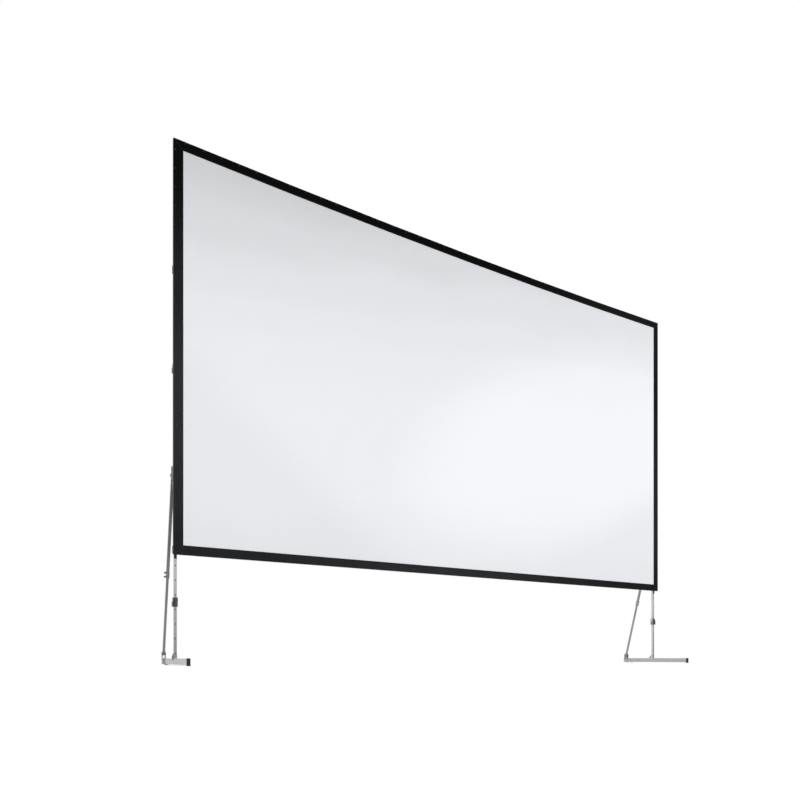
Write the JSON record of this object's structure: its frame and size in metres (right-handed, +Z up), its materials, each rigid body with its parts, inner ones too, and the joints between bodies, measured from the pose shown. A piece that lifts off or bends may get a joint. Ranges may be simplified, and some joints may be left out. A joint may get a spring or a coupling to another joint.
{
  "type": "projection screen",
  "caption": "Large front-projection screen: a tensioned matt white cloth with a black border on a folding rectangular frame, carried by two braced T-legs",
  "frame": {"origin": "on the floor, in the middle of the screen's width and of the feet's length", "axes": "+X to the right of a viewer who faces the picture from -Y looking along +Y, +Y back towards the braces, +Z up"},
  "size_m": [7.56, 1.22, 5.475],
  "materials": {
    "black_anodised": "black satin anodised aluminium",
    "brushed_aluminium": "satin anodised",
    "pale_aluminium": "satin anodised, warm grey",
    "grey_aluminium": "satin, mid grey",
    "black_casting": "black powder coat",
    "black_plastic": "matt moulded",
    "projection_cloth": "matt white projection surface",
    "border_webbing": "black woven webbing"
  },
  "bodies": {
    "screen_frame": {"top_rail_1": "black_anodised", "top_rail_2": "black_anodised", "top_rail_3": "black_anodised", "top_rail_4": "black_anodised", "top_rail_5": "black_anodised", "top_rail_6": "black_anodised", "bottom_rail_1": "black_anodised", "bottom_rail_2": "black_anodised", "bottom_rail_3": "black_anodised", "bottom_rail_4": "black_anodised", "bottom_rail_5": "black_anodised", "bottom_rail_6": "black_anodised", "left_rail_1": "black_anodised", "left_rail_2": "black_anodised", "left_rail_3": "black_anodised", "left_rail_4": "black_anodised", "right_rail_1": "black_anodised", "right_rail_2": "black_anodised", "right_rail_3": "black_anodised", "right_rail_4": "black_anodised", "border_webbing": "border_webbing", "projection_cloth": "projection_cloth", "left_bottom_clamp": "black_casting", "left_top_clamp": "black_casting", "right_bottom_clamp": "black_casting", "right_top_clamp": "black_casting"},
    "left_leg": {"left_leg_base": "brushed_aluminium", "left_leg_tube_1": "brushed_aluminium", "left_leg_tube_2": "brushed_aluminium", "left_leg_tube_3": "brushed_aluminium", "left_brace_bracket": "grey_aluminium"},
    "left_foot": {"left_foot_tube": "pale_aluminium", "left_foot_cap": "black_plastic", "left_hinge_bracket": "brushed_aluminium"},
    "left_brace_upper": {"left_brace_tube": "grey_aluminium"},
    "left_brace_lower": {"left_brace_rod": "grey_aluminium"},
    "left_brace_screw_1_body": {"left_brace_screw_1": "black_casting"},
    "left_brace_screw_2_body": {"left_brace_screw_2": "black_casting"},
    "left_latch_lever_1_body": {"left_latch_lever_1": "black_casting"},
    "left_latch_lever_2_body": {"left_latch_lever_2": "black_casting"},
    "left_latch_lever_3_body": {"left_latch_lever_3": "black_casting"},
    "left_bottom_knob_body": {"left_bottom_knob": "black_plastic"},
    "left_top_knob_body": {"left_top_knob": "black_plastic"},
    "right_leg": {"right_leg_base": "brushed_aluminium", "right_leg_tube_1": "brushed_aluminium", "right_leg_tube_2": "brushed_aluminium", "right_leg_tube_3": "brushed_aluminium", "right_brace_bracket": "grey_aluminium"},
    "right_foot": {"right_foot_tube": "pale_aluminium", "right_foot_cap": "black_plastic", "right_hinge_bracket": "brushed_aluminium"},
    "right_brace_upper": {"right_brace_tube": "grey_aluminium"},
    "right_brace_lower": {"right_brace_rod": "grey_aluminium"},
    "right_brace_screw_1_body": {"right_brace_screw_1": "black_casting"},
    "right_brace_screw_2_body": {"right_brace_screw_2": "black_casting"},
    "right_latch_lever_1_body": {"right_latch_lever_1": "black_casting"},
    "right_latch_lever_2_body": {"right_latch_lever_2": "black_casting"},
    "right_latch_lever_3_body": {"right_latch_lever_3": "black_casting"},
    "right_bottom_knob_body": {"right_bottom_knob": "black_plastic"},
    "right_top_knob_body": {"right_top_knob": "black_plastic"}
  },
  "joints": [
    {"name": "left_leg_slide", "type": "slide", "parent": "screen_frame", "child": "left_leg", "axis": [0, 0, 1], "range_m": [-0.15, 0.3]},
    {"name": "left_foot_fold", "type": "hinge", "parent": "left_leg", "child": "left_foot", "pos_m": [-3.729, 0.065, 0.088], "axis": [1, 0, 0], "range_deg": [0, 80]},
    {"name": "left_brace_swing", "type": "hinge", "parent": "left_leg", "child": "left_brace_upper", "pos_m": [-3.744, 0.081, 2], "axis": [1, 0, 0], "range_deg": [-13.4, 0]},
    {"name": "left_brace_telescope", "type": "slide", "parent": "left_brace_upper", "child": "left_brace_lower", "axis": [0, -0.258, 0.9661], "range_m": [0, 0.5451]},
    {"name": "left_brace_screw_1_turn", "type": "hinge", "parent": "left_brace_upper", "child": "left_brace_screw_1_body", "pos_m": [-3.744, 0.35811, 0.96237], "axis": [1, 0, 0], "continuous": true},
    {"name": "left_brace_screw_2_turn", "type": "hinge", "parent": "left_brace_upper", "child": "left_brace_screw_2_body", "pos_m": [-3.744, 0.34676, 1.00487], "axis": [1, 0, 0], "continuous": true},
    {"name": "left_latch_lever_1_open", "type": "hinge", "parent": "left_leg", "child": "left_latch_lever_1_body", "pos_m": [-3.741, 0.035, 0.681], "axis": [0, 1, 0], "range_deg": [0, 70]},
    {"name": "left_latch_lever_2_open", "type": "hinge", "parent": "left_leg", "child": "left_latch_lever_2_body", "pos_m": [-3.741, 0.035, 1.906], "axis": [0, 1, 0], "range_deg": [0, 70]},
    {"name": "left_latch_lever_3_open", "type": "hinge", "parent": "left_leg", "child": "left_latch_lever_3_body", "pos_m": [-3.741, 0.035, 3.131], "axis": [0, 1, 0], "range_deg": [0, 70]},
    {"name": "left_bottom_knob_turn", "type": "hinge", "parent": "screen_frame", "child": "left_bottom_knob_body", "pos_m": [-3.729, 0.051, 1.215], "axis": [0, 1, 0], "continuous": true},
    {"name": "left_top_knob_turn", "type": "hinge", "parent": "screen_frame", "child": "left_top_knob_body", "pos_m": [-3.729, 0.051, 4.15], "axis": [0, 1, 0], "continuous": true},
    {"name": "right_leg_slide", "type": "slide", "parent": "screen_frame", "child": "right_leg", "axis": [0, 0, 1], "range_m": [-0.15, 0.3]},
    {"name": "right_foot_fold", "type": "hinge", "parent": "right_leg", "child": "right_foot", "pos_m": [3.729, 0.065, 0.088], "axis": [1, 0, 0], "range_deg": [0, 80]},
    {"name": "right_brace_swing", "type": "hinge", "parent": "right_leg", "child": "right_brace_upper", "pos_m": [3.744, 0.081, 2], "axis": [1, 0, 0], "range_deg": [-13.4, 0]},
    {"name": "right_brace_telescope", "type": "slide", "parent": "right_brace_upper", "child": "right_brace_lower", "axis": [0, -0.258, 0.9661], "range_m": [0, 0.5451]},
    {"name": "right_brace_screw_1_turn", "type": "hinge", "parent": "right_brace_upper", "child": "right_brace_screw_1_body", "pos_m": [3.744, 0.35811, 0.96237], "axis": [1, 0, 0], "continuous": true},
    {"name": "right_brace_screw_2_turn", "type": "hinge", "parent": "right_brace_upper", "child": "right_brace_screw_2_body", "pos_m": [3.744, 0.34676, 1.00487], "axis": [1, 0, 0], "continuous": true},
    {"name": "right_latch_lever_1_open", "type": "hinge", "parent": "right_leg", "child": "right_latch_lever_1_body", "pos_m": [3.741, 0.035, 0.681], "axis": [0, -1, 0], "range_deg": [0, 70]},
    {"name": "right_latch_lever_2_open", "type": "hinge", "parent": "right_leg", "child": "right_latch_lever_2_body", "pos_m": [3.741, 0.035, 1.906], "axis": [0, -1, 0], "range_deg": [0, 70]},
    {"name": "right_latch_lever_3_open", "type": "hinge", "parent": "right_leg", "child": "right_latch_lever_3_body", "pos_m": [3.741, 0.035, 3.131], "axis": [0, -1, 0], "range_deg": [0, 70]},
    {"name": "right_bottom_knob_turn", "type": "hinge", "parent": "screen_frame", "child": "right_bottom_knob_body", "pos_m": [3.729, 0.051, 1.215], "axis": [0, 1, 0], "continuous": true},
    {"name": "right_top_knob_turn", "type": "hinge", "parent": "screen_frame", "child": "right_top_knob_body", "pos_m": [3.729, 0.051, 4.15], "axis": [0, 1, 0], "continuous": true}
  ],
  "couplings": [
    {"joint": "left_brace_swing", "follows": "left_foot_fold", "ratio": -0.16726},
    {"joint": "left_brace_telescope", "follows": "left_foot_fold", "m_per_rad": 0.39005},
    {"joint": "right_leg_slide", "follows": "left_leg_slide", "ratio": 1},
    {"joint": "right_brace_swing", "follows": "right_foot_fold", "ratio": -0.16726},
    {"joint": "right_brace_telescope", "follows": "right_foot_fold", "m_per_rad": 0.39005}
  ]
}
